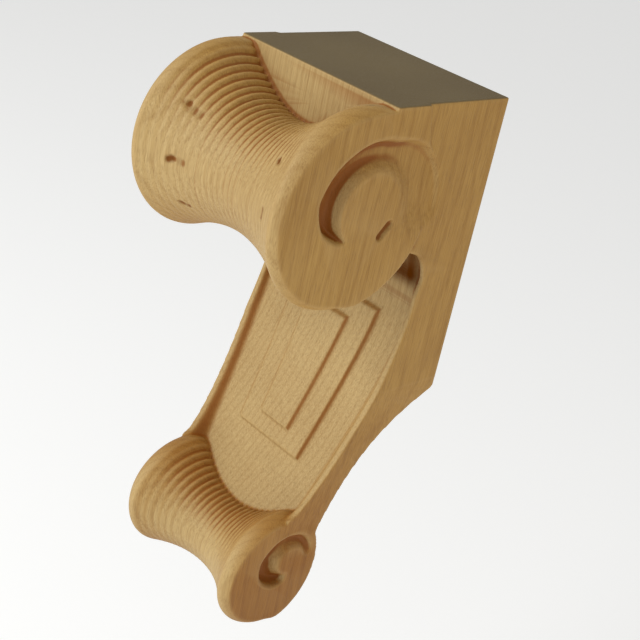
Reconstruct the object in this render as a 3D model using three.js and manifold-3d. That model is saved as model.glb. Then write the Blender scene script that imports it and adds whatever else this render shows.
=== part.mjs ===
// A carved oak corbel bracket: a square block against the wall, a large reeded
// roll at the top front, a panelled shaft that sweeps forward as it falls, and a
// small reeded roll at the foot. It is carved from one piece of timber.
// Millimetres, +Z up, +Y into the wall, the front towards -Y.
// The origin is the centre of the flat back face.

import * as THREE from "three";
import { mergeVertices } from "three/addons/utils/BufferGeometryUtils.js";
import Module from "manifold-3d";

// Driving dimensions. "out" is the distance from the wall, and heights are
// measured down from the top face until the mesh is placed.
const BLOCK_WIDTH = 90;
const BLOCK_OUT = 66;
const BACK_HEIGHT = 136;
const OAK_COLOUR = 0xb98f5c;
const OAK_ROUGHNESS = 0.6;

// The rolls: place and radius of the round ends, place and radius of the waist
// between them, half length, width of the plain land at each end, rounding of the
// edge, how the barrel swells, and how far the back half is flattened.
const UPPER_ROLL = {
  rim: { out: 75.5, z: -41.8, radius: 41.4 },
  waist: { out: 78, z: -45, radius: 25.4 },
  half: 46.3, land: 4, edge: 1.6, swell: 1.9, backShare: 1, reeds: 27, segments: 40,
};
const LOWER_ROLL = {
  rim: { out: 68.5, z: -218.8, radius: 28.6 },
  waist: { out: 65, z: -223.3, radius: 18.4 },
  half: 38.6, land: 7, edge: 1.6, swell: 2.05, backShare: 0.82, reeds: 21, segments: 32,
};
const REED_DEPTH = 0.5;

// Farther than any part of the corbel, for shapes that cut right through it.
const FAR = 400;

// The shaft: the side view's curves, each a start, two handles and an end.
const THROAT_CURVE = [[42, -63], [30, -66], [28, -76], [28, -90]];
const CREST_CURVE = [[28, -90], [30, -122], [58, -190.8], [68.5, -191]];
const TAIL_BACK_CURVE = [[0, -BACK_HEIGHT], [31, -152], [41, -172], [49.5, -211]];
const WEB_START = [BLOCK_OUT, -45];
const TAIL_END = [66, -212];
const BODY_TAPER = { topZ: -130, topHalf: BLOCK_WIDTH / 2, bottomZ: -200, bottomHalf: 38.4 };
const CURVE_STEPS = 14;

// The front of the shaft: raised edges, a sunk ground between them and a panel
// that rises in two steps, the upper one a little above the edges.
const GROUND_CURVE = [[24.6, -90], [25.5, -120], [47.3, -166], [63.5, -206]];
const GROUND_THROAT = [[39, -60], [27, -65], [24.6, -76], [24.6, -90]];
const GROUND_TAPER = { topZ: -106, topHalf: 42, bottomZ: -194, bottomHalf: 32.6 };
const PANELS = [
  { rise: 2.2, topZ: -100, topHalf: 27, bottomZ: -175.5, bottomHalf: 21 },
  { rise: 4.2, topZ: -109.6, topHalf: 13.6, bottomZ: -166.5, bottomHalf: 10 },
];
const PANEL_ROOT = 2;

// The volutes on the ends of the rolls: a spiral hollow round a flat eye. The
// spiral gives the hollow's outer edge as angles up from the back and radii round
// the eye. It starts as a point, closes on the eye and deepens towards the front.
const UPPER_VOLUTE = {
  out: 68.9, z: -41, eye: 15.2, shallow: 3, deep: 6.4,
  spiral: [
    [-32, 39], [-5, 41], [20, 39], [45, 35], [72, 29.4], [120, 28], [168, 28], [196, 24], [226, 17],
  ],
};
const LOWER_VOLUTE = {
  out: 60.7, z: -215.5, eye: 8.5, shallow: 2, deep: 6,
  spiral: [
    [0, 10], [40, 11.4], [90, 13.6], [130, 16.8], [164, 18.6], [190, 17], [215, 14.5], [235, 12], [250, 10],
  ],
};
const SPIRAL_STEPS = 28;
// The hollow's inner edge leaves its outer edge at this share of its radius and
// reaches the eye after this many degrees. The cutter stands clear of the end face.
const POINT_SHARE = 0.96;
const EYE_TAPER = 60;
const CUTTER_CLEAR = 4;

// The upper volute's band starts as a low step on the block's side.
const BAND_STEP = [[BLOCK_OUT, 0], [47.5, 0], [43, -17], [60, -30]];
const BAND_ROOT = 8;

const wasm = await Module();
wasm.setup();

// A closed three.js geometry as a solid that can be joined and cut. Its
// triangles are turned over where it was mirrored.
function solid(geometry, mirrored = false) {
  const bare = geometry.index ? geometry.toNonIndexed() : geometry.clone();
  bare.deleteAttribute("normal");
  bare.deleteAttribute("uv");
  const merged = mergeVertices(bare, 1e-3);
  const corners = merged.index.array;
  const kept = [];
  for (let i = 0; i < corners.length; i += 3) {
    const [a, b, c] = corners.slice(i, i + 3);
    if (a === b || b === c || c === a) continue;
    if (mirrored) kept.push(a, c, b);
    else kept.push(a, b, c);
  }
  return new wasm.Manifold(new wasm.Mesh({
    numProp: 3,
    vertProperties: merged.attributes.position.array,
    triVerts: new Uint32Array(kept),
  }));
}

// A solid as a three.js geometry.
function geometryOf(body) {
  const mesh = body.getMesh();
  const geometry = new THREE.BufferGeometry();
  geometry.setAttribute("position", new THREE.BufferAttribute(mesh.vertProperties, 3));
  geometry.setIndex(new THREE.BufferAttribute(mesh.triVerts, 1));
  geometry.computeVertexNormals();
  return geometry;
}

// The points of a cubic curve in the side view.
function curvePoints([start, first, second, end], steps = CURVE_STEPS) {
  const vectors = [start, first, second, end].map(([out, z]) => new THREE.Vector2(out, z));
  return new THREE.CubicBezierCurve(...vectors).getPoints(steps);
}

const vector = ([out, z]) => new THREE.Vector2(out, z);

// A side view outline carried across the width, from one x to another.
function acrossWidth(points, from = -BLOCK_WIDTH, to = BLOCK_WIDTH) {
  const geometry = new THREE.ExtrudeGeometry(new THREE.Shape(points),
    { depth: to - from, bevelEnabled: false });
  const place = geometry.attributes.position;
  for (let i = 0; i < place.count; i++) {
    place.setXYZ(i, to - place.getZ(i), -place.getX(i), place.getY(i));
  }
  return solid(geometry);
}

// A front view outline carried from in front of the rolls to behind the wall
// face. It is straight down to the taper, runs in along it and is straight below.
function throughDepth({ topZ, topHalf, bottomZ, bottomHalf }, aboveZ, belowZ) {
  const right = [[topHalf, aboveZ], [topHalf, topZ], [bottomHalf, bottomZ], [bottomHalf, belowZ]];
  const left = right.map(([x, z]) => [-x, z]).reverse();
  const geometry = new THREE.ExtrudeGeometry(new THREE.Shape([...right, ...left].map(vector)),
    { depth: 2 * FAR, bevelEnabled: false });
  geometry.rotateX(Math.PI / 2);
  geometry.translate(0, FAR, 0);
  return solid(geometry);
}

// The block, the shaft and the tail in one outline, still without panel or rolls.
function bodySolid() {
  const outline = [
    new THREE.Vector2(0, 0),
    new THREE.Vector2(BLOCK_OUT, 0),
    vector(WEB_START),
    ...curvePoints(THROAT_CURVE, CURVE_STEPS / 2),
    ...curvePoints(CREST_CURVE).slice(1),
    vector(TAIL_END),
    ...curvePoints(TAIL_BACK_CURVE).reverse(),
  ];
  return acrossWidth(outline.reverse()).intersect(throughDepth(BODY_TAPER, FAR, -FAR));
}

// Everything in front of the sunk ground, between the raised edges.
function groundCutter() {
  const ground = [
    ...curvePoints(GROUND_THROAT, CURVE_STEPS / 2),
    ...curvePoints(GROUND_CURVE).slice(1),
  ];
  const outline = [
    ...ground.reverse(),
    new THREE.Vector2(FAR, GROUND_THROAT[0][1]),
    new THREE.Vector2(FAR, GROUND_CURVE[3][1]),
  ];
  return acrossWidth(outline.reverse()).intersect(throughDepth(GROUND_TAPER, FAR, -FAR));
}

// One step of the raised panel, following the curve of the ground.
function panelSolid(panel) {
  const ground = curvePoints(GROUND_CURVE);
  const face = ground.map((p) => new THREE.Vector2(p.x + panel.rise, p.y));
  const back = ground.map((p) => new THREE.Vector2(p.x - PANEL_ROOT, p.y));
  return acrossWidth([...back, ...face.reverse()])
    .intersect(throughDepth(panel, panel.topZ, panel.bottomZ));
}

// How far a roll has swollen from its waist to its rim at a distance from its middle.
function swellAt(roll, x) {
  return Math.min(Math.abs(x) / (roll.half - roll.land), 1) ** roll.swell;
}

// A roll with a hollowed barrel, fine reeds round it and a plain land at each end.
function rollSolid(roll) {
  const { rim, waist, half, edge } = roll;
  const barrel = half - roll.land;
  const pitch = (2 * barrel) / roll.reeds;
  const radiusAt = (x) => THREE.MathUtils.lerp(waist.radius, rim.radius, swellAt(roll, x));
  const ease = edge * (1 - Math.SQRT1_2);
  const end = [
    [0, half],
    [rim.radius - edge, half],
    [rim.radius - ease, half - ease],
    [rim.radius, half - edge],
  ];
  const reeded = [];
  for (let i = 0; i <= 2 * roll.reeds; i++) {
    const x = -barrel + (i * pitch) / 2;
    const valley = i % 2 === 0 && i > 0 && i < 2 * roll.reeds;
    reeded.push([radiusAt(x) - (valley ? REED_DEPTH : 0), x]);
  }
  const profile = [...end.map(([radius, x]) => [radius, -x]), ...reeded, ...end.reverse()];
  const lathe = new THREE.LatheGeometry(profile.map(vector), roll.segments);
  lathe.rotateZ(-Math.PI / 2);
  const place = lathe.attributes.position;
  for (let i = 0; i < place.count; i++) {
    const share = swellAt(roll, place.getX(i));
    const forward = place.getY(i) < 0 ? -place.getY(i) : -place.getY(i) * roll.backShare;
    const out = THREE.MathUtils.lerp(waist.out, rim.out, share) + forward;
    const z = THREE.MathUtils.lerp(waist.z, rim.z, share) + place.getZ(i);
    place.setXYZ(i, place.getX(i), -out, z);
  }
  return solid(lathe);
}

// A point at an angle up from the back and a radius round a volute's eye.
function roundEye(volute, degrees, radius) {
  const angle = THREE.MathUtils.degToRad(degrees);
  return new THREE.Vector2(volute.out - radius * Math.cos(angle), volute.z + radius * Math.sin(angle));
}

// The hollow of a volute, between its spiral edge and the eye. It deepens
// towards the front, and side is 1 or -1 for the end of the roll it is cut in.
function voluteCutter(volute, half, side) {
  const reachOut = Math.min(...volute.spiral.map(([, radius]) => radius)) + volute.eye;
  const turns = new THREE.SplineCurve(volute.spiral.map(vector)).getPoints(SPIRAL_STEPS);
  const start = turns[0];
  const widening = (POINT_SHARE * start.y) / volute.eye - 1;
  const spiral = turns.map((p) => roundEye(volute, p.x, p.y));
  const eye = turns.map((p) => {
    const near = THREE.MathUtils.clamp(1 - (p.x - start.x) / EYE_TAPER, 0, 1);
    return roundEye(volute, p.x, volute.eye * (1 + widening * near * near));
  });
  const geometry = new THREE.ExtrudeGeometry(new THREE.Shape([...spiral, ...eye.reverse()]),
    { depth: 1, bevelEnabled: false });
  const place = geometry.attributes.position;
  for (let i = 0; i < place.count; i++) {
    const out = place.getX(i);
    const forward = THREE.MathUtils.clamp(0.5 + (out - volute.out) / (2 * reachOut), 0, 1);
    const depth = THREE.MathUtils.lerp(volute.shallow, volute.deep, forward);
    const reach = place.getZ(i) > 0 ? CUTTER_CLEAR : -depth;
    place.setXYZ(i, side * (half + reach), -out, place.getY(i));
  }
  return solid(geometry, side > 0);
}

// The low step on one side of the block where the upper volute's band starts.
function bandStep(side) {
  const { half } = UPPER_ROLL;
  const [from, to] = side > 0 ? [half - BAND_ROOT, half] : [-half, BAND_ROOT - half];
  return acrossWidth(BAND_STEP.map(vector), from, to);
}

function corbelSolid() {
  let body = bodySolid().subtract(groundCutter());
  for (const panel of PANELS) body = body.add(panelSolid(panel));
  for (const side of [1, -1]) body = body.add(bandStep(side));
  for (const roll of [UPPER_ROLL, LOWER_ROLL]) body = body.add(rollSolid(roll));
  for (const side of [1, -1]) {
    body = body.subtract(voluteCutter(UPPER_VOLUTE, UPPER_ROLL.half, side));
    body = body.subtract(voluteCutter(LOWER_VOLUTE, LOWER_ROLL.half, side));
  }
  return body;
}

const oak = new THREE.MeshStandardMaterial({
  color: OAK_COLOUR,
  roughness: OAK_ROUGHNESS,
  metalness: 0,
});
const corbel = new THREE.Mesh(geometryOf(corbelSolid()), oak);
corbel.name = "corbel";
corbel.position.z = BACK_HEIGHT / 2;

const group = new THREE.Group();
group.add(corbel);

export default group;
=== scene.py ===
# A carved oak corbel on a plain pale floor, in soft studio light.
# The corbel is one piece of timber. Its body is a sheet carved at the front and flat
# at the back, its two reeded rolls come from a Geometry Nodes tree, all are fused into
# one skin, and the volutes and tool marks are then cut into that skin.
import functools
import math

import bmesh
import bpy
import numpy as np
from mathutils import Matrix, Vector


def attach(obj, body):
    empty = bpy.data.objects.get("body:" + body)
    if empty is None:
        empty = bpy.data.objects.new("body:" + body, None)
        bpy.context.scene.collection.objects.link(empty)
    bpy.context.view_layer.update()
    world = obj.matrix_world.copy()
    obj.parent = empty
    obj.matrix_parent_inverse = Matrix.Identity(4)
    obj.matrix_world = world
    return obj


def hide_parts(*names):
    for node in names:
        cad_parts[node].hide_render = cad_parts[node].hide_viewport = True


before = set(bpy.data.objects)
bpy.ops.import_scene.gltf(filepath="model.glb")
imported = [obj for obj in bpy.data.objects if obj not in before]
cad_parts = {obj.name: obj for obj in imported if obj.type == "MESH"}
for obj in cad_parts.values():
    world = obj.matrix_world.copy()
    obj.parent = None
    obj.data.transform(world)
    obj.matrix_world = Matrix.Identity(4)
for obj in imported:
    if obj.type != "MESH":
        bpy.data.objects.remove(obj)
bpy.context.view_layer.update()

MM = 0.001

# Sizes in millimetres. "out" is the distance from the wall, and heights are
# measured down from the top face, which is TOP_Z above the frame's origin.
BLOCK_WIDTH = 90
BLOCK_OUT = 66
BACK_HEIGHT = 136
TOP_Z = BACK_HEIGHT / 2

# The two rolls. Rim and waist are each a distance out, a height and a radius, and the last
# two numbers are how many steps the mesh has around and along.
UPPER_ROLL = {
    "rim": (75.5, -41.8, 41.4), "waist": (78, -45, 25.4),
    "half": 46.3, "land": 4.0, "land_growth": 4.0, "edge": 5.5, "swell": 1.9,
    "back_share": 1.0, "reed_pitch": 3.1, "reed_depth": 1.8, "quirk": 0.4,
    "around": 220, "along": 380,
}
LOWER_ROLL = {
    "rim": (68.5, -218.8, 28.6), "waist": (65, -223.3, 18.4),
    "half": 38.6, "land": 6.0, "land_growth": 2.0, "edge": 5.0, "swell": 2.05,
    "back_share": 0.82, "reed_pitch": 3.0, "reed_depth": 1.6, "quirk": 0.8,
    "around": 160, "along": 320,
}
# Round a roll, forward is 1 at its front and up is 1 at its top.
# The plain land at each end widens between these two heights.
LAND_WIDENS = (0.3, 0.95)
# The reeds deepen towards the top and back, from the faintest share to the full depth,
# are cut sharper the higher the power, and run out before the land. From reed to reed the depth
# varies between the uneven shares, by a noise of this scale whose values mostly lie in the range.
REED_DIRECTION = (-0.6, 0.8, 0.0)
REED_DEEPENS = (-0.3, 0.9)
REED_FAINTEST = 0.16
REED_POWER = 2.2
REED_RUN_OUT = 3.0
REED_UNEVEN = (0.7, 1.2)
REED_VARIES = 0.73
NOISE_RANGE = (0.25, 0.75)
# Half the width of the quirk between the reeds and the land.
QUIRK_RUN = 1.4
# The rim is rounded over where it stands free of the block or the tail, which sets in between
# these two places forward, and drops by this share of the edge.
RIM_FREE = (-0.3, 0.1)
RIM_DROP = 0.5

# The side view's curves, each a start, two handles and an end.
THROAT_CURVE = [(42, -63), (30, -66), (28, -76), (28, -90)]
CREST_CURVE = [(28, -90), (30, -122), (58, -190.8), (68.5, -191)]
TAIL_BACK_CURVE = [(0, -BACK_HEIGHT), (31, -152), (41, -172), (49.5, -211)]
GROUND_THROAT = [(39, -60), (27, -65), (24.6, -76), (24.6, -90)]
GROUND_CURVE = [(24.6, -90), (25.5, -120), (47.3, -166), (63.5, -206)]
WEB_START = (BLOCK_OUT, -45)
TAIL_END = (66, -212)
CURVE_STEPS = 48

# Half widths at two heights, straight above and below them.
BODY_TAPER = {"top_z": -130, "top_half": BLOCK_WIDTH / 2, "bottom_z": -200, "bottom_half": 38.4}
GROUND_TAPER = {"top_z": -106, "top_half": 42, "bottom_z": -194, "bottom_half": 32.6}
# The raised lips start inside the ground's edge and end in a narrow flat crest.
LIP_FOOT = 0.2
LIP_CREST = 2.2
# Under the large roll the lips are gouged away towards the sides.
POCKET = {
    "depth": 3.0, "inner": 36, "outer": 44, "top_z": -62, "top_run": 4, "bottom_z": -88, "bottom_run": 12,
}
# Each step of the panel rises from the one below it over a short slope.
PANELS = [
    {"rise": 2.2, "top_z": -100, "top_half": 27, "bottom_z": -175.5, "bottom_half": 21},
    {"rise": 2.0, "top_z": -109.6, "top_half": 13.6, "bottom_z": -166.5, "bottom_half": 10},
]
PANEL_SLOPE = 1.5
# A point of the skin this near the front counts as on it, and a lip's wall this high gets the full painted
# shade.
# Only walls that face right and up, away from the light, get painted shade, fully so from FULLY_FACING on.
# FRONT_LEAN is how far the front itself faces up.
WALL_HIGH = 3.0
FRONT_LEAN = 0.4
FULLY_FACING = 0.5
# Points down and across the sheets that the body is made from.
ROWS, COLUMNS = 330, 141

# The volutes: a spiral hollow round a flat eye. The spiral is the hollow's outer edge
# as angles up from the back and radii round the eye.
UPPER_VOLUTE = {
    "out": 68.9, "z": -41, "eye": 15.2, "deep": 6.4, "softness": 1.0, "eye_softness": 1.0,
    "angles": [-32, -5, 20, 45, 72, 120, 168, 196, 226],
    "radii": [39, 41, 39, 35, 29.4, 28, 28, 24, 17],
}
LOWER_VOLUTE = {
    "out": 60.2, "z": -215.5, "eye": 7.0, "deep": 6.0, "softness": 0.45, "eye_softness": 1.8,
    "angles": [0, 40, 90, 130, 164, 190, 215, 235, 250],
    "radii": [11.4, 12.2, 14.2, 17.2, 19, 18.2, 16, 14, 11.6],
}
# Along the spiral, from its start to its end, the hollow deepens and its two walls,
# the outer one and the one up to the eye, grow steeper. Depths are shares of the deepest.
SPIRAL_SHARES = [0, 0.2, 0.45, 0.7, 1]
FLOOR_DEPTHS = [0.35, 0.5, 0.6, 1, 0.9]
OUTER_RUNS = [4, 3, 2.6, 2.4, 2]
EYE_RUNS = [12, 9, 6, 3, 2]
# The deepest that the hollow gets for its width, how far in from the roll's end the cut reaches,
# and the least that a point faces sideways to be cut.
STEEPEST = 1.6
END_CUT = 4
LEAST_FACING = -0.2
# Degrees over which the hollow starts, and on each side of its end.
START_FADE = 30
END_FADE = 4
# Painted shade starts in a volute's hollow at the first of these shares of its depth, and is full at the
# next.
VOLUTE_SHADE_DEPTHS = (0.5, 1.0)
# A low step on the block's sides, from its top front corner round by the back, and how deep it is set.
BAND_STEP = [(BLOCK_OUT, 0), (47.5, 0), (43, -17), (60, -30)]
BAND_ROOT = 8

# The middle of a mark that has its full depth, as a share of its width.
MARK_CORE = 0.15
# Marks of the tools, and a painted shadow in the pocket under the large roll. Each runs between two places
# given as x, out and height, with its width, its depth and how dark it is. The gouge's and the shadow are on
# both sides alike.
GOUGE_AND_SHADOW_CUTS = [
    {"from": (46, 60.2, -52.8), "to": (46, 56.4, -48.2), "width": 2.6, "depth": 1.8, "dark": 0.3},
    # A painted shadow in the pocket under the large roll: it cuts nothing and only darkens.
    {"from": (39, 32, -67), "to": (37, 26, -79), "width": 8.0, "depth": 0, "dark": 1.0},
]
TORN_GRAIN = [
    {"from": (-30, 103, -23), "to": (-28.5, 102.2, -22.4), "width": 2.0, "depth": 0.5, "dark": 0.5},
    {"from": (-28.5, 103, -23.6), "to": (-23, 101, -25.2), "width": 2.8, "depth": 0.3, "dark": 0.2},
    {"from": (-28, 109.4, -44.9), "to": (-26.5, 108.8, -44.2), "width": 2.4, "depth": 0.6, "dark": 0.65},
    {"from": (-26, 108.6, -44), "to": (-21.5, 106.9, -44.5), "width": 2.6, "depth": 0.3, "dark": 0.2},
    {"from": (28, 103.6, -24), "to": (30, 104, -25), "width": 2.2, "depth": 0.5, "dark": 0.65},
    {"from": (-26, 101.8, -63.3), "to": (-22.5, 100, -63.8), "width": 1.9, "depth": 0.4, "dark": 0.4},
    {"from": (32.3, 111, -40.8), "to": (32.3, 111, -44.2), "width": 1.9, "depth": 0.4, "dark": 0.4},
]

# The skin: grain of the fused mesh, rounds of smoothing and their strength, and triangles kept.
VOXEL = 0.55
FUSE_ROUNDS = 3
VOLUTE_ROUNDS = 6
CARVE_ROUNDS = 2
SMOOTHING = 0.5
TRIANGLES = 180000
# Rounds of averaging that find the hollows, and the depth in millimetres that counts as full.
HOLLOW_ROUNDS = 8
HOLLOW_FULL = 0.15
# On the shaft's front and at the start of the upper volute the creases are fine lines and
# count for less. On the volute that fades between two distances out.
FINE_CREASE = 0.35
SHAFT_TOP = -92
FAINT_OUT = (50, 64)


def smooth_step(low, high, value):
    """0 below low, 1 above high, and a soft rise between them."""
    t = np.clip((value - low) / (high - low), 0, 1)
    return t * t * (3 - 2 * t)


def curve_points(curve, steps=CURVE_STEPS):
    """Points along a cubic curve in the side view."""
    start, first, second, end = (np.array(p, float) for p in curve)
    t = np.linspace(0, 1, steps + 1)[:, None]
    near = (1 - t) ** 3 * start + 3 * (1 - t) ** 2 * t * first
    far = 3 * (1 - t) * t ** 2 * second + t ** 3 * end
    return [tuple(p) for p in near + far]


def falling(points):
    """A falling outline in the side view, as a function of height."""
    outs, heights = np.array(points, float).T
    return lambda z: np.interp(-z, -heights, outs)


def half_width(taper, z):
    """Half the width at a height, between a taper's two ends."""
    heights = [-taper["top_z"], -taper["bottom_z"]]
    return np.interp(-z, heights, [taper["top_half"], taper["bottom_half"]])


BLOCK_FRONT = [(BLOCK_OUT, 0), WEB_START]
crest_out = falling(BLOCK_FRONT + curve_points(THROAT_CURVE) + curve_points(CREST_CURVE) + [TAIL_END])
ground_out = falling(BLOCK_FRONT + curve_points(GROUND_THROAT) + curve_points(GROUND_CURVE))
back_out = falling([(0, 0)] + curve_points(TAIL_BACK_CURVE))


def lip_share(x, z):
    """How far up the inner wall of a lip a place on the front is, from its foot to its crest."""
    foot = half_width(GROUND_TAPER, z) - LIP_FOOT
    return smooth_step(foot, half_width(BODY_TAPER, z) - LIP_CREST, np.abs(x))


def panel_share(panel, x, z):
    """How far up the slope of a step of the panel a place on the front is."""
    inset = np.minimum(panel["top_z"] - z, z - panel["bottom_z"])
    inset = np.minimum(inset, half_width(panel, z) - np.abs(x))
    return np.clip(inset / PANEL_SLOPE, 0, 1)


def front_out(x, z):
    """How far out the front is: raised lips, a sunk ground and a panel in two steps."""
    ground = ground_out(z)
    out = ground + (crest_out(z) - ground) * lip_share(x, z)
    pocket = smooth_step(POCKET["inner"], POCKET["outer"], np.abs(x))
    pocket = pocket * smooth_step(POCKET["bottom_z"], POCKET["bottom_z"] + POCKET["bottom_run"], z)
    pocket = pocket * smooth_step(-POCKET["top_z"], POCKET["top_run"] - POCKET["top_z"], -z)
    out = out - POCKET["depth"] * pocket
    for panel in PANELS:
        out = out + panel["rise"] * panel_share(panel, x, z)
    return out


def wall_share(place, normal):
    """How near each point is to half way up a wall of a lip or of the panel, where painted shade goes."""
    x, out, z = place[:, 0], -place[:, 1], place[:, 2] - TOP_Z
    lip = lip_share(x, z)
    # 4 s (1 - s) is 1 half way up a wall, and 0 at its foot and at its crest.
    wall = 4 * lip * (1 - lip) * np.clip((crest_out(z) - ground_out(z)) / WALL_HIGH, 0, 1)
    for panel in PANELS:
        share = panel_share(panel, x, z)
        wall = np.maximum(wall, 4 * share * (1 - share))
    # Facing up counts half as much as facing right.
    facing = normal[:, 0] + (normal[:, 2] - FRONT_LEAN) / 2
    wall = wall * smooth_step(0, FULLY_FACING, facing)
    return np.where(np.abs(out - front_out(x, z)) < WALL_HIGH, wall, 0)


def new_piece(name, points, faces):
    """A mesh object from points in metres, its faces turned outwards."""
    mesh = bpy.data.meshes.new(name)
    mesh.from_pydata(points, [], faces)
    work = bmesh.new()
    work.from_mesh(mesh)
    bmesh.ops.recalc_face_normals(work, faces=work.faces)
    work.to_mesh(mesh)
    work.free()
    piece = bpy.data.objects.new(name, mesh)
    bpy.context.scene.collection.objects.link(piece)
    return piece


def between_sheets(name, front, back):
    """A closed solid between two grids of points, both of the same shape, in millimetres."""
    rows, columns = front.shape[:2]
    index = np.arange(rows * columns).reshape(rows, columns)
    sheet = np.stack([index[:-1, :-1], index[:-1, 1:], index[1:, 1:], index[1:, :-1]], -1).reshape(-1, 4)
    rim = np.concatenate([index[0, :-1], index[:-1, -1], index[-1, :0:-1], index[:0:-1, 0]])
    after = np.roll(rim, -1)
    shift = rows * columns
    wall = np.stack([rim, rim + shift, after + shift, after], -1)
    faces = np.concatenate([sheet, sheet[:, ::-1] + shift, wall])
    points = np.concatenate([front.reshape(-1, 3), back.reshape(-1, 3)]) * MM
    return new_piece(name, points.tolist(), faces.tolist())


def body_piece():
    """The block, shaft and tail."""
    z = np.linspace(0, TAIL_END[1], ROWS)[:, None] * np.ones(COLUMNS)
    x = half_width(BODY_TAPER, z) * np.linspace(-1, 1, COLUMNS)
    front = np.stack([x, -front_out(x, z), z + TOP_Z], -1)
    back = np.stack([x, -back_out(z), z + TOP_Z], -1)
    return between_sheets("body", front, back)


def band_piece(side):
    """The low step on one side of the block where the upper volute's band starts."""
    front_top, back_top, back_foot, front_foot = BAND_STEP
    outline = np.array([[front_top, back_top], [front_foot, back_foot]], float)
    faces = []
    for x in (UPPER_ROLL["half"] - BAND_ROOT, UPPER_ROLL["half"]):
        faces.append(np.stack([np.full((2, 2), side * x), -outline[..., 0], outline[..., 1] + TOP_Z], -1))
    return between_sheets("band", *faces)


def finished_mesh(piece):
    """Replaces a piece's mesh by what its modifiers make of it, and drops them."""
    graph = bpy.context.evaluated_depsgraph_get()
    made = bpy.data.meshes.new_from_object(piece.evaluated_get(graph))
    piece.modifiers.clear()
    piece.data = made
    return piece


def add_node(tree, kind, inputs=(), **settings):
    """Adds a node with its settings, and links or sets its inputs. A node stands for its first output."""
    node = tree.nodes.new(kind)
    for key, value in settings.items():
        setattr(node, key, value)
    for key, value in inputs.items() if isinstance(inputs, dict) else enumerate(inputs):
        source = value.outputs[0] if isinstance(value, bpy.types.Node) else value
        if isinstance(source, bpy.types.NodeSocket):
            tree.links.new(source, node.inputs[key])
        else:
            node.inputs[key].default_value = source
    return node


def socket_kind(value):
    """The kind of input that a roll's size needs: three numbers, a count or a length."""
    if isinstance(value, tuple):
        return "NodeSocketVector"
    return "NodeSocketInt" if isinstance(value, int) else "NodeSocketFloat"


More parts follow.
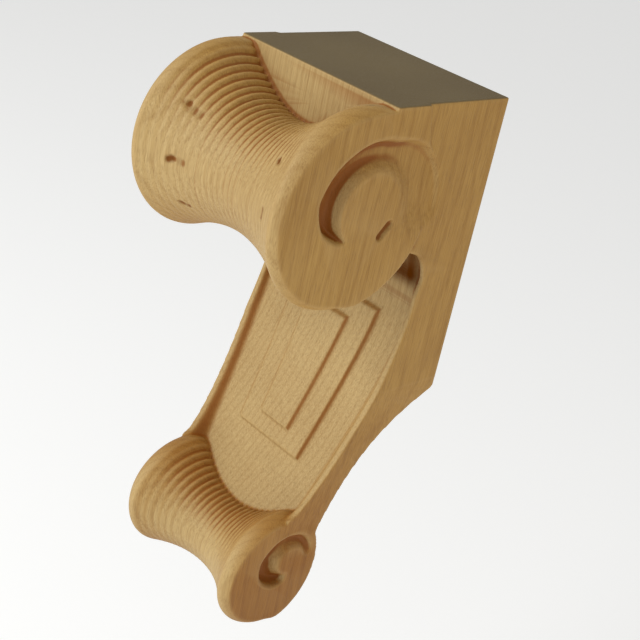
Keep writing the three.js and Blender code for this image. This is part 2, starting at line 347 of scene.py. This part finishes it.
def roll_tree():
    """A tree that makes a reeded roll along X from the sizes on its inputs."""
    tree = bpy.data.node_groups.new("reeded roll", "GeometryNodeTree")
    add = functools.partial(add_node, tree)
    tree.interface.new_socket("Geometry", in_out="OUTPUT", socket_type="NodeSocketGeometry")
    sockets = {}
    for name, value in UPPER_ROLL.items():
        sockets[name] = tree.interface.new_socket(name, in_out="INPUT", socket_type=socket_kind(value))
    given = add("NodeGroupInput").outputs
    tube = add("GeometryNodeMeshCylinder", {"Vertices": given["around"], "Side Segments": given["along"],
                                            "Radius": 1.0, "Depth": 2.0})
    unit = add("ShaderNodeSeparateXYZ", [add("GeometryNodeInputPosition")]).outputs
    x = add("ShaderNodeMath", [unit["Z"], given["half"]], operation="MULTIPLY")
    reach = add("ShaderNodeMath", [x], operation="ABSOLUTE")
    # The plain land at each end is wider at the top, where the volute's band leaves the block.
    land = add("ShaderNodeMapRange", [unit["Y"], *LAND_WIDENS, 0.0, given["land_growth"]],
               interpolation_type="SMOOTHSTEP")
    land = add("ShaderNodeMath", [land, given["land"]], operation="ADD")
    barrel = add("ShaderNodeMath", [given["half"], land], operation="SUBTRACT")
    along = add("ShaderNodeMath", [reach, barrel], operation="DIVIDE", use_clamp=True)
    share = add("ShaderNodeMath", [along, given["swell"]], operation="POWER")
    # A mix of places takes its share on input 0 and the two places on 4 and 5.
    centre = add("ShaderNodeMix", {0: share, 4: given["waist"], 5: given["rim"]}, data_type="VECTOR")
    centre = add("ShaderNodeSeparateXYZ", [centre.outputs[1]]).outputs
    # Each reed is a groove, deeper towards the top and back, where the tool ran out against
    # the block, and a little deeper or fainter than the next.
    turn = add("ShaderNodeMath", [x, given["reed_pitch"]], operation="DIVIDE")
    swing = add("ShaderNodeMath", [turn, math.pi], operation="MULTIPLY")
    swing = add("ShaderNodeMath", [swing], operation="COSINE")
    swing = add("ShaderNodeMath", [swing], operation="ABSOLUTE")
    groove = add("ShaderNodeMath", [swing, REED_POWER], operation="POWER")
    number = add("ShaderNodeMath", [turn], operation="ROUND")
    uneven = add("ShaderNodeTexNoise", {"W": number, "Scale": REED_VARIES, "Detail": 1.0},
                 noise_dimensions="1D")
    uneven = add("ShaderNodeMapRange", [uneven, *NOISE_RANGE, *REED_UNEVEN])
    high = add("ShaderNodeVectorMath", [add("GeometryNodeInputPosition"), REED_DIRECTION],
               operation="DOT_PRODUCT").outputs["Value"]
    high = add("ShaderNodeMapRange", [high, *REED_DEEPENS, REED_FAINTEST, 1.0],
               interpolation_type="SMOOTHSTEP")
    inner = add("ShaderNodeMath", [barrel, REED_RUN_OUT], operation="SUBTRACT")
    fade = add("ShaderNodeMapRange", [reach, inner, barrel, 1.0, 0.0])
    depth = given["reed_depth"]
    for part in (groove, uneven, high, fade):
        depth = add("ShaderNodeMath", [depth, part], operation="MULTIPLY")
    # A narrow quirk parts the barrel from the plain land.
    past = add("ShaderNodeMath", [reach, barrel], operation="SUBTRACT")
    past = add("ShaderNodeMath", [past], operation="ABSOLUTE")
    quirk = add("ShaderNodeMapRange", [past, 0.0, QUIRK_RUN, given["quirk"], 0.0],
                interpolation_type="SMOOTHSTEP")
    quirk = add("ShaderNodeMath", [quirk, high], operation="MULTIPLY")
    # The rim's outer edge is rounded, but not behind, where it lies against the block or the tail.
    shoulder = add("ShaderNodeMath", [given["half"], given["edge"]], operation="SUBTRACT")
    over = add("ShaderNodeMapRange", [reach, shoulder, given["half"], 0.0, 1.0])
    over = add("ShaderNodeMath", [over, 2.0], operation="POWER")
    free = add("ShaderNodeMapRange", [unit["X"], *RIM_FREE, 0.0, RIM_DROP],
               interpolation_type="SMOOTHSTEP")
    ease = add("ShaderNodeMath", [given["edge"], free], operation="MULTIPLY")
    ease = add("ShaderNodeMath", [ease, over], operation="MULTIPLY")
    radius = add("ShaderNodeMath", [centre["Z"], depth], operation="SUBTRACT")
    radius = add("ShaderNodeMath", [radius, ease], operation="SUBTRACT")
    radius = add("ShaderNodeMath", [radius, quirk], operation="SUBTRACT")
    behind = add("ShaderNodeMath", [unit["X"], 0.0], operation="LESS_THAN")
    squash = add("ShaderNodeMapRange", [behind, 0.0, 1.0, 1.0, given["back_share"]])
    forward = add("ShaderNodeMath", [unit["X"], radius], operation="MULTIPLY")
    forward = add("ShaderNodeMath", [forward, squash], operation="MULTIPLY")
    out = add("ShaderNodeMath", [centre["X"], forward], operation="ADD")
    height = add("ShaderNodeMath", [unit["Y"], radius, centre["Y"]], operation="MULTIPLY_ADD")
    from_wall = add("ShaderNodeMath", [out, -1.0], operation="MULTIPLY")
    above_origin = add("ShaderNodeMath", [height, TOP_Z], operation="ADD")
    place = add("ShaderNodeCombineXYZ", [x, from_wall, above_origin])
    metres = add("ShaderNodeVectorMath", {"Vector": place, "Scale": MM}, operation="SCALE")
    shaped = add("GeometryNodeSetPosition", {"Geometry": tube, "Position": metres})
    realized = add("GeometryNodeRealizeInstances", [shaped])
    dressed = add("GeometryNodeSetMaterial", {"Geometry": realized})
    add("NodeGroupOutput", [dressed])
    return tree, {name: socket.identifier for name, socket in sockets.items()}


def roll_piece(name, roll, tree, identifiers):
    """One reeded roll as a plain mesh."""
    piece = new_piece(name, [], [])
    maker = piece.modifiers.new("roll", "NODES")
    maker.node_group = tree
    for key, value in roll.items():
        maker[identifiers[key]] = value
    return finished_mesh(piece)


def fused(pieces, name):
    """One skin round several overlapping closed pieces."""
    points, faces = [], []
    for piece in pieces:
        first = len(points)
        points += [v.co.copy() for v in piece.data.vertices]
        faces += [tuple(first + i for i in p.vertices) for p in piece.data.polygons]
        bpy.data.objects.remove(piece, do_unlink=True)
    mesh = bpy.data.meshes.new(name)
    mesh.from_pydata(points, [], faces)
    piece = bpy.data.objects.new(name, mesh)
    bpy.context.scene.collection.objects.link(piece)
    skin = piece.modifiers.new("skin", "REMESH")
    skin.mode = "VOXEL"
    skin.voxel_size = VOXEL * MM
    return smoothed(piece, FUSE_ROUNDS)


def smoothed(piece, rounds):
    """Eases the skin towards its neighbours in every round."""
    ease = piece.modifiers.new("ease", "SMOOTH")
    ease.factor = SMOOTHING
    ease.iterations = rounds
    return finished_mesh(piece)


def places_and_normals(mesh):
    """The places of a mesh's points in millimetres, and the directions they face."""
    count = len(mesh.vertices)
    place = np.empty(count * 3, np.float32)
    normal = np.empty(count * 3, np.float32)
    mesh.vertices.foreach_get("co", place)
    mesh.vertex_normals.foreach_get("vector", normal)
    return place.reshape(-1, 3).astype(float) / MM, normal.reshape(-1, 3).astype(float)


def volute_depth(volute, out, z):
    """How deep the hollow of a volute is at places on the end of its roll."""
    back, up = volute["out"] - out, z - volute["z"]
    radius = np.hypot(back, up)
    start, end = volute["angles"][0], volute["angles"][-1]
    angle = np.degrees(np.arctan2(up, back))
    angle = np.where(angle < (start + end) / 2 - 180, angle + 360, angle)
    width = np.interp(angle, volute["angles"], volute["radii"]) - volute["eye"]
    share = (angle - start) / (end - start)
    floor = volute["deep"] * np.interp(share, SPIRAL_SHARES, FLOOR_DEPTHS)
    floor = np.minimum(floor, STEEPEST * width)
    outer = np.minimum(volute["softness"] * np.interp(share, SPIRAL_SHARES, OUTER_RUNS), width / 2)
    inner = np.minimum(volute["eye_softness"] * np.interp(share, SPIRAL_SHARES, EYE_RUNS), width / 2)
    past_eye = radius - volute["eye"]
    ends = smooth_step(start, start + START_FADE, angle)
    ends = ends * (1 - smooth_step(end - END_FADE, end + END_FADE, angle))
    return floor * smooth_step(0, inner, past_eye) * smooth_step(0, outer, width - past_eye) * ends


def cut_share(cut, place):
    """How fully a cut between two places reaches each point, from 0 outside it to 1 along its middle."""
    x, out, z = np.array([cut["from"], cut["to"]], float).T
    start = np.array([x[0], -out[0], z[0] + TOP_Z])
    run = np.array([x[1], -out[1], z[1] + TOP_Z]) - start
    along = np.clip((place - start) @ run / (run @ run), 0, 1)
    distance = np.linalg.norm(place - start - along[:, None] * run, axis=1)
    return 1 - smooth_step(MARK_CORE * cut["width"], cut["width"], distance)


def averaged(mesh, values, rounds):
    """Values at a mesh's points, each replaced by the mean of its neighbours' in every round."""
    count = len(mesh.vertices)
    ends = np.empty(len(mesh.edges) * 2, np.int32)
    mesh.edges.foreach_get("vertices", ends)
    first, second = ends.reshape(-1, 2).T
    centre, around = np.concatenate([first, second]), np.concatenate([second, first])
    neighbours = np.bincount(centre, minlength=count)[:, None]
    for _ in range(rounds):
        sums = [np.bincount(centre, column[around], count) for column in values.T]
        values = np.stack(sums, -1) / neighbours
    return values


def carve(piece):
    """Cuts the volutes and the tool marks into the skin. Gives how dark the marks and a painted shadow leave
    each point, and how deep in a volute it is, as a share of painted shade."""
    mesh = piece.data
    place, normal = places_and_normals(mesh)
    side = np.sign(place[:, 0])
    hollowed = np.zeros(len(place))
    volute_shade = np.zeros(len(place))
    for volute, roll in ((UPPER_VOLUTE, UPPER_ROLL), (LOWER_VOLUTE, LOWER_ROLL)):
        reach = np.abs(place[:, 0])
        depth = volute_depth(volute, -place[:, 1], place[:, 2] - TOP_Z)
        on_end = (reach > roll["half"] - END_CUT) & (normal[:, 0] * side > LEAST_FACING)
        cut = (depth > 0) & on_end
        place[:, 0] = np.where(cut, side * np.minimum(reach, roll["half"] - depth), place[:, 0])
        hollowed = np.maximum(hollowed, cut)
        volute_shade = np.maximum(volute_shade, cut * smooth_step(*VOLUTE_SHADE_DEPTHS, depth / volute["deep"]))
    share = averaged(mesh, hollowed[:, None], VOLUTE_ROUNDS)
    place += (averaged(mesh, place, VOLUTE_ROUNDS) - place) * share
    mirrored = place * np.stack([side, np.ones_like(side), np.ones_like(side)], -1)
    dark = np.zeros(len(place))
    shares = [(cut, cut_share(cut, mirrored)) for cut in GOUGE_AND_SHADOW_CUTS]
    shares += [(cut, cut_share(cut, place)) for cut in TORN_GRAIN]
    for cut, share in shares:
        place -= normal * (cut["depth"] * share)[:, None]
        dark = np.maximum(dark, cut["dark"] * share)
    mesh.vertices.foreach_set("co", (place * MM).astype(np.float32).ravel())
    mesh.update()
    return dark, volute_shade


def hollowness(mesh):
    """How far each point lies below its surroundings: 1 deep in a hollow, 0 on the flat, -1 on an edge."""
    place, normal = places_and_normals(mesh)
    below = ((averaged(mesh, place, HOLLOW_ROUNDS) - place) * normal).sum(1) / HOLLOW_FULL
    x, out, z = place[:, 0], -place[:, 1], place[:, 2] - TOP_Z
    on_shaft = (np.abs(out - front_out(x, z)) < WALL_HIGH) & (z < SHAFT_TOP)
    by_band = smooth_step(-FAINT_OUT[1], -FAINT_OUT[0], -out) * (z > WEB_START[1] - UPPER_VOLUTE["eye"])
    fine = np.maximum(on_shaft, by_band)
    return np.clip((1 - fine * (1 - FINE_CREASE)) * below, -1, 1)


def keep_on_points(mesh, name, values):
    """Stores one number at each point of a mesh, for the material to read."""
    layer = mesh.attributes.new(name, "FLOAT", "POINT")
    layer.data.foreach_set("value", values.astype(np.float32))


def thinned(piece):
    """Fewer triangles where the skin is flat."""
    triangles = sum(len(p.vertices) - 2 for p in piece.data.polygons)
    step = piece.modifiers.new("thin", "DECIMATE")
    step.ratio = min(1.0, TRIANGLES / triangles)
    finished_mesh(piece).data.shade_smooth()
    # Large flat triangles keep their own facing, so no streaks run out from the carving.
    piece.modifiers.new("facing", "WEIGHTED_NORMAL")
    return finished_mesh(piece)


def corbel_piece():
    """The whole corbel as one finished mesh."""
    tree, identifiers = roll_tree()
    parts = [body_piece(), band_piece(1), band_piece(-1)]
    parts.append(roll_piece("upper_roll", UPPER_ROLL, tree, identifiers))
    parts.append(roll_piece("lower_roll", LOWER_ROLL, tree, identifiers))
    piece = fused(parts, "carved_corbel")
    dark, volute_shade = carve(piece)
    smoothed(piece, CARVE_ROUNDS)
    keep_on_points(piece.data, "dark_marks_and_shadow", dark)
    keep_on_points(piece.data, "hollow", hollowness(piece.data))
    walls = wall_share(*places_and_normals(piece.data))
    # Painted shade on the walls that face right and up, and deep in the volutes.
    keep_on_points(piece.data, "painted_shade", np.maximum(walls, volute_shade))
    return thinned(piece)


def colour(hex_value):
    """An sRGB hex colour as linear red, green, blue and alpha."""
    parts = [int(hex_value[i:i + 2], 16) / 255 for i in (1, 3, 5)]
    return [p / 12.92 if p <= 0.04045 else ((p + 0.055) / 1.055) ** 2.4 for p in parts] + [1.0]


# Oak, in millimetres: the spacing of its growth rings, where their heart lies, how far they
# wander and over what lengths, and how little the height counts in the distance from the heart.
RING_SPACING = 3.2
RING_HEART = (-260, 90, 0)
RING_WANDER = 18.0
WANDER_LENGTHS = (60, 60, 160)
RING_STRETCH = (1.0, 1.0, 0.06)
# The width and length of its fibres, its open pores and its patches of tone. Single fibres
# are far too fine to show, so they are drawn as bundles.
FIBRE = (0.5, 26)
PORE = (0.4, 6)
PATCH = 55
# How much each adds to the tone, and the tones that are palest and warmest.
RING_WEIGHT, FIBRE_WEIGHT, PATCH_WEIGHT = 0.14, 0.9, 0.6
TONE_SPAN = (0.5, 1.2)
LATE_WOOD = (0.55, 0.95)
PORE_EDGE = (0.55, 0.7)
PORE_WEIGHT = 0.24
# Where the painted shade of the sides, darker and more amber, sets in, by how far a face is turned from the
# front, and where more painted shade at the foot does, by height.
SIDE_SHADE_TURN = (-0.9, -0.3)
FOOT_SHADE_HEIGHTS = (-60.0, -150.0)
# How hollow a place is where its painted shade starts and is full, how sharp where its painted highlight
# does, and the full tints.
HOLLOW_SPAN, HOLLOW_SHADE_TINT = (0.22, 1.0), 0.9
EDGE_SPAN, EDGE_HIGHLIGHT_TINT = (-0.2, -1.0), 0.3
# How strongly painted shade tints the walls that face right and up and the depths of the volutes.
PAINTED_SHADE_TINT = 0.85
# The sawn top's skin lies between these heights. Its end grain is darker, and painted shade darkens it
# further.
SAWN_HEIGHTS, SAWN_AND_SHADE_TINT = (TOP_Z - 0.5, TOP_Z - 0.1), 0.85
# Depth of the grain that can be felt, how far the pores sink in it, and the oil's sheen.
GRAIN_DEPTH, GRAIN_STRENGTH, PORE_SUNK = 0.2, 0.4, -0.8
FIBRE_SPAN, ROUGHNESS = (0.2, 0.8), (0.52, 0.68)
OAK_IOR, SHEEN = 1.5, 0.3

# The brown of the hollows and walls, the amber and foot tints of the sides and the sawn top's colours paint
# shade; the edge colour paints a highlight; the mark colour also paints a shadow.
OAK_COLOURS = {
    "pale": "#c1a56f", "warm": "#9a7845", "pore": "#6f4a24", "side_shade": "#f8e5b8", "foot": "#e0c59a",
    "painted shade brown": "#8a5012", "edge": "#bd9a62", "mark_and_shadow": "#5c2f06", "sawn shaded pale": "#60573a", "sawn shaded dark": "#4a4128",
}


def oak_material():
    """Carved oak under a thin oily coat: straight fine grain along the height, short dark pores, a darker and
    greyer end grain on the top with painted shade over it, painted shade in the hollows, on walls and on the
    sides, and paler edges as a painted highlight."""
    material = bpy.data.materials.new("oiled oak")
    material.use_nodes = True
    tree = material.node_tree
    add = functools.partial(add_node, tree)
    tint = {name: colour(value) for name, value in OAK_COLOURS.items()}
    shader = tree.nodes["Principled BSDF"]
    seat = add("ShaderNodeTexCoord").outputs
    mm = add("ShaderNodeVectorMath", {"Vector": seat["Object"], "Scale": 1 / MM}, operation="SCALE")
    height = add("ShaderNodeSeparateXYZ", [mm]).outputs["Z"]

    # Growth rings, long and nearly straight shells round a heart that lies outside the block.
    slow = add("ShaderNodeVectorMath", [mm, WANDER_LENGTHS], operation="DIVIDE")
    wander = add("ShaderNodeTexNoise", {"Vector": slow, "Scale": 1.0, "Detail": 2.0})
    from_heart = add("ShaderNodeVectorMath", [mm, RING_HEART], operation="SUBTRACT")
    from_heart = add("ShaderNodeVectorMath", [from_heart, RING_STRETCH], operation="MULTIPLY")
    distance = add("ShaderNodeVectorMath", [from_heart], operation="LENGTH").outputs["Value"]
    distance = add("ShaderNodeMath", [wander, RING_WANDER, distance], operation="MULTIPLY_ADD")
    ring = add("ShaderNodeMath", [distance, 2 / RING_SPACING], operation="MULTIPLY")
    ring = add("ShaderNodeMath", [ring, 1.0], operation="PINGPONG")
    late = add("ShaderNodeMapRange", [ring, *LATE_WOOD, 0.0, 1.0])

    # Fibres and pores run along the height.
    fine = add("ShaderNodeVectorMath", [mm, (FIBRE[0], FIBRE[0], FIBRE[1])], operation="DIVIDE")
    fibre = add("ShaderNodeTexNoise", {"Vector": fine, "Scale": 1.0, "Detail": 3.0, "Roughness": 0.6})
    short = add("ShaderNodeVectorMath", [mm, (PORE[0], PORE[0], PORE[1])], operation="DIVIDE")
    pore = add("ShaderNodeTexNoise", {"Vector": short, "Scale": 1.0, "Detail": 1.0})
    pore = add("ShaderNodeMapRange", [pore, *PORE_EDGE, 0.0, 1.0])
    patch = add("ShaderNodeTexNoise", {"Vector": mm, "Scale": 1 / PATCH, "Detail": 2.0})

    # From pale to warm wood, by ring, fibre and patch. A mix of colours takes its share on input 0
    # and the two colours on 6 and 7, and gives the result on output 2.
    tone = add("ShaderNodeMath", [late, RING_WEIGHT], operation="MULTIPLY")
    tone = add("ShaderNodeMath", [fibre, FIBRE_WEIGHT, tone], operation="MULTIPLY_ADD")
    tone = add("ShaderNodeMath", [patch, PATCH_WEIGHT, tone], operation="MULTIPLY_ADD")
    tone = add("ShaderNodeMapRange", [tone, *TONE_SPAN, 0.0, 1.0])
    wood = add("ShaderNodeMix", {0: tone, 6: tint["pale"], 7: tint["warm"]}, data_type="RGBA")
    weight = add("ShaderNodeMath", [pore, PORE_WEIGHT], operation="MULTIPLY")
    wood = add("ShaderNodeMix", {0: weight, 6: wood.outputs[2], 7: tint["pore"]}, data_type="RGBA")

    # Painted shade: the sides, turned from the front light, are darker and more amber than the front, and
    # towards the foot they are darker still.
    facing = add("ShaderNodeSeparateXYZ", [seat["Normal"]]).outputs["Y"]
    side_shade = add("ShaderNodeMapRange", [facing, *SIDE_SHADE_TURN, 0.0, 1.0])
    wood = add("ShaderNodeMix", {0: side_shade, 6: wood.outputs[2], 7: tint["side_shade"]}, data_type="RGBA",
               blend_type="MULTIPLY")
    foot = add("ShaderNodeMapRange", [height, *FOOT_SHADE_HEIGHTS, 0.0, 1.0])
    foot = add("ShaderNodeMath", [foot, side_shade], operation="MULTIPLY")
    wood = add("ShaderNodeMix", {0: foot, 6: wood.outputs[2], 7: tint["foot"]}, data_type="RGBA",
               blend_type="MULTIPLY")

    # Painted shade darkens the hollows and the walls that face right and up, edges are paler as a painted
    # highlight, and torn grain is dark, as is the painted shadow in the pocket under the large roll.
    hollow = add("ShaderNodeAttribute", attribute_name="hollow").outputs["Fac"]
    painted_shade = add("ShaderNodeAttribute", attribute_name="painted_shade").outputs["Fac"]
    deep = add("ShaderNodeMapRange", [hollow, *HOLLOW_SPAN, 0.0, HOLLOW_SHADE_TINT])
    deep = add("ShaderNodeMath", [painted_shade, PAINTED_SHADE_TINT, deep], operation="MULTIPLY_ADD", use_clamp=True)
    wood = add("ShaderNodeMix", {0: deep, 6: wood.outputs[2], 7: tint["painted shade brown"]}, data_type="RGBA")
    # Convex edges are painted paler, a painted highlight.
    edge = add("ShaderNodeMapRange", [hollow, *EDGE_SPAN, 0.0, EDGE_HIGHLIGHT_TINT])
    wood = add("ShaderNodeMix", {0: edge, 6: wood.outputs[2], 7: tint["edge"]}, data_type="RGBA")
    mark_and_shadow = add("ShaderNodeAttribute", attribute_name="dark_marks_and_shadow").outputs["Fac"]
    wood = add("ShaderNodeMix", {0: mark_and_shadow, 6: wood.outputs[2], 7: tint["mark_and_shadow"]}, data_type="RGBA")

    # The top is sawn across the grain. It drinks more of the oily coat, so it is darker and greyer, and
    # painted shade, as on a top turned from the light, darkens it further.
    end_grain_and_shade = add("ShaderNodeMapRange", [height, *SAWN_HEIGHTS, 0.0, SAWN_AND_SHADE_TINT])
    sawn = add("ShaderNodeMix", {0: patch, 6: tint["sawn shaded pale"], 7: tint["sawn shaded dark"]}, data_type="RGBA")
    wood = add("ShaderNodeMix", {0: end_grain_and_shade, 6: wood.outputs[2], 7: sawn.outputs[2]}, data_type="RGBA")
    tree.links.new(wood.outputs[2], shader.inputs["Base Color"])

    # Pores and fibres are felt as well as seen, and torn grain and the painted shadow have no sheen.
    relief = add("ShaderNodeMath", [pore, PORE_SUNK, fibre], operation="MULTIPLY_ADD")
    bump = add("ShaderNodeBump", {"Height": relief, "Strength": GRAIN_STRENGTH, "Distance": GRAIN_DEPTH * MM})
    tree.links.new(bump.outputs[0], shader.inputs["Normal"])
    rough = add("ShaderNodeMapRange", [fibre, *FIBRE_SPAN, *ROUGHNESS])
    tree.links.new(rough.outputs[0], shader.inputs["Roughness"])
    shader.inputs["IOR"].default_value = OAK_IOR
    sheen = add("ShaderNodeMapRange", [mark_and_shadow, 0.0, 1.0, SHEEN, 0.0])
    tree.links.new(sheen.outputs[0], shader.inputs["Specular IOR Level"])
    return material


corbel = corbel_piece()
corbel.data.materials.clear()
corbel.data.materials.append(oak_material())
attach(corbel, "root")
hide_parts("corbel")

# The camera of the photo: its turn round the object, height, roll, distance and
# focal length in pixels of a 640 wide picture, with lengths as shares of the width.
AZIMUTH, ELEVATION, ROLL = (math.radians(a) for a in (42.62, 25.70, 12.17))
DISTANCE = 7.0008 * BLOCK_WIDTH * MM
AIM = Vector((-0.508, 0.1798, -1.6668)) * BLOCK_WIDTH * MM + Vector((0, 0, TOP_Z * MM))
FOCAL_PIXELS = 1242.84
PICTURE_PIXELS = 640
SENSOR_WIDTH = 36
FAR_LIMIT = 50

# The studio, in metres and watts. The floor glows a little, as a lit backdrop does.
FLOOR_SIZE, FLOOR_Z, FLOOR_GLOW = 12, -0.45, 0.24
LIGHT_AIM = (0, -0.05, -0.05)
SOFT_LIGHTS = [
    {"name": "front light", "place": (-0.5, -1.45, 0.8), "size": 1.2, "power": 20.5, "tint": "#fbfdff"},
    {"name": "right light", "place": (1.6, -0.3, 0.1), "size": 0.9, "power": 2.8, "tint": "#ffe9cc"},
]
ROOM_LIGHT = 0.52


def photo_camera():
    """The camera as it was fitted to the photo."""
    backward = Vector((math.sin(AZIMUTH) * math.cos(ELEVATION),
                       -math.cos(AZIMUTH) * math.cos(ELEVATION), math.sin(ELEVATION)))
    level = Vector((math.cos(AZIMUTH), math.sin(AZIMUTH), 0))
    upright = backward.cross(level)
    right = math.cos(ROLL) * level + math.sin(ROLL) * upright
    up = math.cos(ROLL) * upright - math.sin(ROLL) * level
    data = bpy.data.cameras.new("photo camera")
    data.sensor_width = SENSOR_WIDTH
    data.lens = FOCAL_PIXELS / PICTURE_PIXELS * data.sensor_width
    data.clip_end = FAR_LIMIT
    camera = bpy.data.objects.new("photo camera", data)
    place = AIM + backward * DISTANCE
    camera.matrix_world = Matrix((
        (right.x, up.x, backward.x, place.x),
        (right.y, up.y, backward.y, place.y),
        (right.z, up.z, backward.z, place.z),
        (0, 0, 0, 1)))
    bpy.context.scene.collection.objects.link(camera)
    bpy.context.scene.camera = camera


def soft_light(name, place, size, power, tint):
    """A square soft light that faces the corbel."""
    data = bpy.data.lights.new(name, "AREA")
    data.size = size
    data.energy = power
    data.color = colour(tint)[:3]
    light = bpy.data.objects.new(name, data)
    light.location = place
    light.rotation_euler = (Vector(LIGHT_AIM) - Vector(place)).to_track_quat("-Z", "Y").to_euler()
    bpy.context.scene.collection.objects.link(light)


def studio():
    """A pale floor well below the corbel, a large soft light in front and a weak one to its right."""
    bpy.ops.mesh.primitive_plane_add(size=FLOOR_SIZE, location=(0, 0, FLOOR_Z))
    floor = bpy.context.object
    floor.name = "floor"
    # Matt white shows no highlight, only the light fading across it.
    pale = bpy.data.materials.new("matt white backdrop")
    pale.use_nodes = True
    shader = pale.node_tree.nodes["Principled BSDF"]
    shader.inputs["Base Color"].default_value = colour("#f4f4f2")
    shader.inputs["Roughness"].default_value = 0.9
    shader.inputs["Emission Color"].default_value = colour("#ffffff")
    shader.inputs["Emission Strength"].default_value = FLOOR_GLOW
    floor.data.materials.append(pale)
    for light in SOFT_LIGHTS:
        soft_light(**light)
    world = bpy.data.worlds.new("studio")
    world.use_nodes = True
    background = world.node_tree.nodes["Background"].inputs
    background["Color"].default_value = colour("#ffffff")
    background["Strength"].default_value = ROOM_LIGHT
    bpy.context.scene.world = world
    bpy.context.scene.view_settings.view_transform = "Standard"


photo_camera()
studio()
